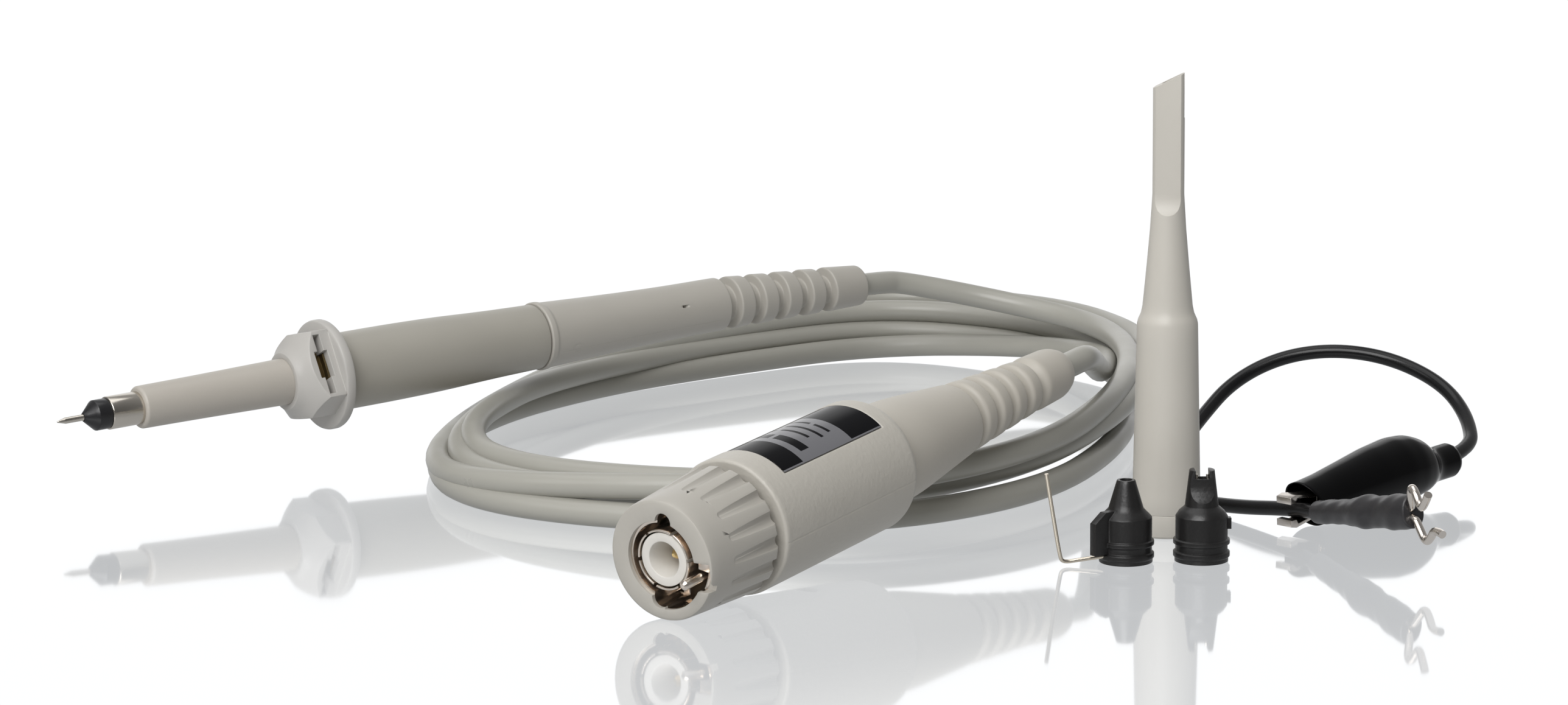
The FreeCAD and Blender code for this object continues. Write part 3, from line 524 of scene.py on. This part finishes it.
label_black = skinned("label_black", (0.006, 0.006, 0.007), 0.12, scale=400.0, depth=0.000001,
                      Specular_IOR_Level=0.05)
label_grey = skinned("label_grey", (0.15, 0.15, 0.16), 0.12, scale=400.0, depth=0.000001,
                     Specular_IOR_Level=0.3)
wear(label, label_black, label_grey)
label.data.polygons.foreach_set("material_index", [
    ink((label_s[i] + label_s[i + 1]) / 2, (label_a[j] + label_a[j + 1]) / 2)
    for i in range(len(label_s) - 1) for j in range(len(label_a) - 1)])
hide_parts("box_label")
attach(label, "probe")

# Box strain relief ---------------------------------------------------------------------
# Smooth cone from the housing, four narrow grooves between rounded ribs, then
# a plain rounded end round the cable.

relief_outline = [(46.2, 6.6), (46.2, 7.3, 0.1), (53, 7.15, 3), (60, 6.3, 3), (67.7, 5.35, 0.4),
                  (68.1, 3.9, 0.3)]
for i, x in enumerate((69.5, 73.9, 78.3, 82.8)):
    crest = 5.2 - 0.3 * i
    relief_outline += [(x - 0.25, crest - 1.45, 0.3), (x + 0.15, crest - 0.05, 0.7),
                       (x + 2.75, crest - 0.25, 0.5), (x + 3.1, crest - 1.75, 0.3)]
relief_end = [(86.0, 3.0, 0.35), (86.7, 3.0, 0.4), (87.6, 4.05, 0.8), (93.8, 3.85, 1.2), (95.6, 3.2, 0.8),
              (96.2, 2.4, 0.4), (96.2, 1.9, 0.1), (92, 1.9)]
relief_outline = relief_outline[:-1] + relief_end
relief = turned("box_relief", filled(soften(relief_outline, 0.3, 6), 0.6), BOX, 110)
wear(relief, skinned("relief_plastic", (0.46, 0.433, 0.382), 0.48, scale=2400.0, depth=0.00001))
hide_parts("box_boot")
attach(relief, "probe")

# Hook tip --------------------------------------------------------------------------------
# Pale moulded sleeve standing on its end, blade-like toward the top with a
# side slot for the hook wire; the core with the wire slides inside it.

HOOK_PALE = skinned("hook_plastic", (0.52, 0.495, 0.445), 0.4, scale=2800.0, depth=0.000006)
dress("hook_sleeve", HOOK_PALE, 0.18, 28)
dress("hook_sleeve_ring", HOOK_PALE, 0.12)
dress("hook_core", skinned("core_plastic", (0.42, 0.40, 0.35), 0.4), 0.1)
for node in ("hook_wire", "hook_contact"):
    dress(node, skinned(node + "_steel", (0.66, 0.62, 0.56), 0.25, Metallic=1.0), 0.03)

# Hook spring -------------------------------------------------------------------------------
# Return spring of round steel wire between the core and the shoulder in the sleeve, drawn at one fixed
# length.

HOOK_SPOT = np.array((77.0, -34.2, 0.0))
SPRING_R = 2.3
SPRING_WIRE_R = 0.28
SPRING_PITCH = 2.2
SPRING_LONG = 14.0
SPRING_LOW = 14.35


def wound_wire(turns, ring):
    """Tube round a helix: the radius swings by the wire's own, the height climbs one pitch per turn."""
    turn, around = np.meshgrid(2 * math.pi * turns, ring, indexing="ij")
    r = SPRING_R + SPRING_WIRE_R * np.cos(around)
    climb = SPRING_LOW + SPRING_PITCH * turn / (2 * math.pi) + SPRING_WIRE_R * np.sin(around)
    return np.stack((r * np.cos(turn), r * np.sin(turn), climb), -1)


spring_turns = np.linspace(0, SPRING_LONG / SPRING_PITCH, 230)
spring_ring = np.radians(np.linspace(0, 360, 10, endpoint=False))
spring_points = (wound_wire(spring_turns, spring_ring) + HOOK_SPOT) * MM
spring = mesh_piece("hook_spring_coil", spring_points.reshape(-1, 3),
                    sheet_faces(len(spring_turns), len(spring_ring)))
wear(spring, skinned("spring_wire", (0.66, 0.62, 0.56), 0.25, Metallic=1.0))
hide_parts("hook_spring")
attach(spring, "hook_tip")
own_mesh(spring)

# Tip caps --------------------------------------------------------------------------------
# Two small black moulded caps standing on the floor, one with a fin and a
# springy steel ground wire, one with a forked top and two contact pins.

CAP_BLACK = skinned("cap_black", (0.010, 0.0095, 0.0095), 0.36, scale=2200.0, depth=0.00002)
dress("finned_cap", CAP_BLACK, 0.15, 28)
dress("forked_cap", CAP_BLACK, 0.15, 28)
dress("forked_cap_pins", STEEL, 0.03)
WHISKER_POINTS = ((67.0, -53.6, 1.15), (63.4, -54.0, 0.75), (61.0, -54.2, 0.45), (60.6, -54.6, 1.6),
                  (59.6, -55.4, 7.5), (58.7, -56.1, 13.1))
whisker = bend_cord("cap_wire", WHISKER_POINTS, 0.275)
wear(whisker, skinned("whisker_steel", (0.80, 0.72, 0.60), 0.22, Metallic=1.0))
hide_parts("ground_whisker")
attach(whisker, "finned_tip_cap")

# Ground lead -------------------------------------------------------------------------------
# Black vinyl wire from the clip's boot round the back to the shrunk sleeve
# that holds the forked spring contact.

CLIP = axis_frame((96.8, -32.5, 3.34), 42.2, 3.2)
LEAD_POINTS = ((99.4, -43.0, 4.4), (97.6, -38.6, 3.6), (94.6, -33.0, 2.95), (88.0, -26.0, 1.7),
               (81.8, -18.5, 1.15), (79.6, -9.0, 1.6), (81.5, 2.0, 3.6), (86.5, 11.0, 7.4),
               (92.0, 17.5, 11.8), (99.5, 19.6, 15.2), (108.0, 19.2, 16.4), (116.6, 17.2, 15.2),
               (123.4, 11.0, 12.2), (125.7, 2.5, 8.5), on_axis(CLIP, 37.5), on_axis(CLIP, 25.0))
lead = bend_cord("ground_lead_cord", LEAD_POINTS, 1.05)
wear(lead, skinned("lead_vinyl", (0.006, 0.006, 0.0065), 0.24, scale=1500.0, depth=0.000003,
                   Specular_IOR_Level=0.35))
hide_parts("ground_lead_wire")
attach(lead, "ground_lead")


# Clip boot -----------------------------------------------------------------------------------
# Soft glossy vinyl boot, thickest past its middle and open at the mouth,
# where the upper lip reaches further forward. A station is a length along
# the boot, its radius and the lift of its middle.

BOOT_STATIONS = np.array(((0, 3.45, 0.1), (1.2, 3.5, 0.12), (4, 3.65, 0.25), (9, 4.05, 0.7), (14, 4.5, 1.0),
                          (19, 4.8, 1.15), (22, 4.7, 1.05), (24.4, 4.15, 0.75), (26.0, 3.3, 0.35),
                          (27.0, 2.75, 0.1), (28.0, 2.55, 0.05), (31.6, 2.55, 0.05), (32.2, 2.3, 0.05),
                          (32.3, 1.05, 0.05)))
along = np.concatenate((np.linspace(0, 31.4, 90), np.linspace(31.5, 32.3, 14)))
radii = np.interp(along, BOOT_STATIONS[:, 0], BOOT_STATIONS[:, 1])
lifts = np.interp(along, BOOT_STATIONS[:, 0], BOOT_STATIONS[:, 2])
smooth = np.hanning(9) / np.hanning(9).sum()
radii[4:-18] = np.convolve(radii, smooth, "same")[4:-18]
lifts[4:-18] = np.convolve(lifts, smooth, "same")[4:-18]
outer = list(zip(along, radii, lifts))
inner = [(12.0, 3.35, 0.6), (8.0, 3.3, 0.5), (4.0, 3.25, 0.3), (1.0, 3.2, 0.25), (0.1, 3.2, 0.2),
         (-0.1, 3.35, 0.1)]
BOOT_ANGLES = 72
LIP_LONG = 9.0
LIP_REACH = 1.6


def boot_surface(rings, degrees):
    """Round rings, each lifted by its own value; the mouth leans, its top drawn forward."""
    x, a = np.meshgrid(rings[:, 0], np.radians(degrees), indexing="ij")
    r, lift = rings[:, 1:2], rings[:, 2:3]
    x = x - LIP_REACH * np.clip(1 - x / LIP_LONG, 0, 1) * np.cos(a)
    return CLIP(np.stack((x, -r * np.sin(a), r * np.cos(a) + lift), -1))


rings = np.array(inner + outer)
boot_points = boot_surface(rings, np.linspace(0, 360, BOOT_ANGLES, endpoint=False))
boot = mesh_piece("clip_boot_shell", boot_points.reshape(-1, 3), sheet_faces(len(rings), BOOT_ANGLES))
wear(boot, skinned("boot_vinyl", (0.002, 0.002, 0.0022), 0.08, scale=500.0, depth=0.000004,
                   Specular_IOR_Level=0.15))
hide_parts("clip_boot")
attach(boot, "ground_lead")

# Clip jaws -------------------------------------------------------------------------------------
# Folded nickel-plated jaws that turn on one pin, their tips turned in; the
# boot grips the lower one.

for node in ("clip_jaw_lower", "clip_jaw_upper", "clip_pivot_pin"):
    dress(node, skinned(node + "_nickel", (0.72, 0.67, 0.62), 0.2, scale=2400.0, depth=0.000006, mottle=0.15,
                        Metallic=1.0), 0.1)

# Heat-shrink sleeve ------------------------------------------------------------------------------
# Shrunk tight on the wire, swollen over the crimp, flattened where it grips
# the fork.

SHRINK_A, SHRINK_B = np.array((97.7, -38.8, 3.65)), np.array((107.6, -59.5, 8.1))
way = SHRINK_B - SHRINK_A
reach = float(np.linalg.norm(way))
SLEEVE = axis_frame(SHRINK_A, math.degrees(math.atan2(way[1], way[0])),
                    math.degrees(math.asin(way[2] / reach)))
sleeve_outline = soften([(0.3, 1.1), (0, 1.3, 0.1), (0, 1.6, 0.2), (3, 1.7, 1.5), (6, 1.72, 1.5),
                         (9, 1.85, 1.5), (11.5, 2.3, 1), (13, 2.4, 1), (15, 2.15, 1), (17, 2.25, 1),
                         (19.5, 2.5, 1), (reach - 0.2, 2.3, 0.3), (reach, 2.1, 0.2),
                         (reach - 0.3, 0.6, 0.2), (reach - 0.5, 0.02)], 0.4, 6)


def creases(x, degrees):
    """Slow lumps along the tube and a flattened end."""
    a = np.radians(degrees)
    lumps = 0.10 * np.sin(x * 1.3 + 2 * a) * np.sin(x * 0.6 + a) * window(x, 2, reach, 3)
    flat = 0.55 * window(x, reach - 9, reach + 9, 6) * np.sin(a) ** 2
    return lumps + flat


sleeve = turned("lead_sleeve", filled(sleeve_outline, 0.4), SLEEVE, 72, creases)
wear(sleeve, skinned("shrink_tube", (0.026, 0.025, 0.027), 0.36, scale=700.0, depth=0.00002, mottle=0.15))
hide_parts("lead_heat_shrink")
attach(sleeve, "ground_lead")

# Fork contact --------------------------------------------------------------------------------------
# Two springy nickel arms, each bent in and out again toward its end.

FORK_TOP = ((105.2, -54.6, 7.4), (107.3, -59.0, 8.1), (107.3, -60.0, 9.6), (106.9, -60.8, 11.5),
            (107.1, -62.2, 12.0), (107.8, -63.8, 9.7), (108.0, -65.0, 9.9), (108.3, -66.9, 12.0))
FORK_LOW = ((105.2, -54.6, 6.7), (107.6, -59.6, 7.8), (108.3, -61.0, 6.0), (108.9, -62.3, 4.5),
            (109.3, -63.6, 5.4), (109.6, -65.0, 7.0), (110.3, -66.9, 6.6))
fork = bend_cord("fork_arms", FORK_TOP, 0.56, 12)
add_line(fork.data, FORK_LOW, 12)
wear(fork, skinned("fork_nickel", (0.80, 0.74, 0.68), 0.16, mottle=0.1, Metallic=1.0))
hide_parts("lead_fork_contact")
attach(fork, "ground_lead")

# Hidden parts ----------------------------------------------------------------------------------------
# Insulation, resistor, crimps, cable cores, board and trimmer inside the
# housings, each seated in the bore that holds it.

TIN = (0.70, 0.66, 0.60)
COPPER = (0.72, 0.45, 0.25)
INSIDES = (("tip_dielectric", (0.70, 0.68, 0.62), 0), ("tip_resistor", (0.10, 0.22, 0.30), 0),
           ("head_crimp_ferrule", TIN, 1), ("head_cable_core", COPPER, 1),
           ("readout_pin_barrel", (0.75, 0.60, 0.35), 1), ("readout_pin_spring", (0.66, 0.64, 0.60), 1),
           ("circuit_board", (0.05, 0.20, 0.09), 0), ("board_components", (0.12, 0.11, 0.10), 0),
           ("trimmer_body", (0.62, 0.55, 0.30), 0), ("trimmer_rotor", (0.75, 0.72, 0.66), 1),
           ("box_crimp_ferrule", TIN, 1), ("box_cable_core", COPPER, 1))
for node, colour, metal in INSIDES:
    dress(node, skinned(node + "_inner", colour, 0.38, Metallic=float(metal)), 0.05)
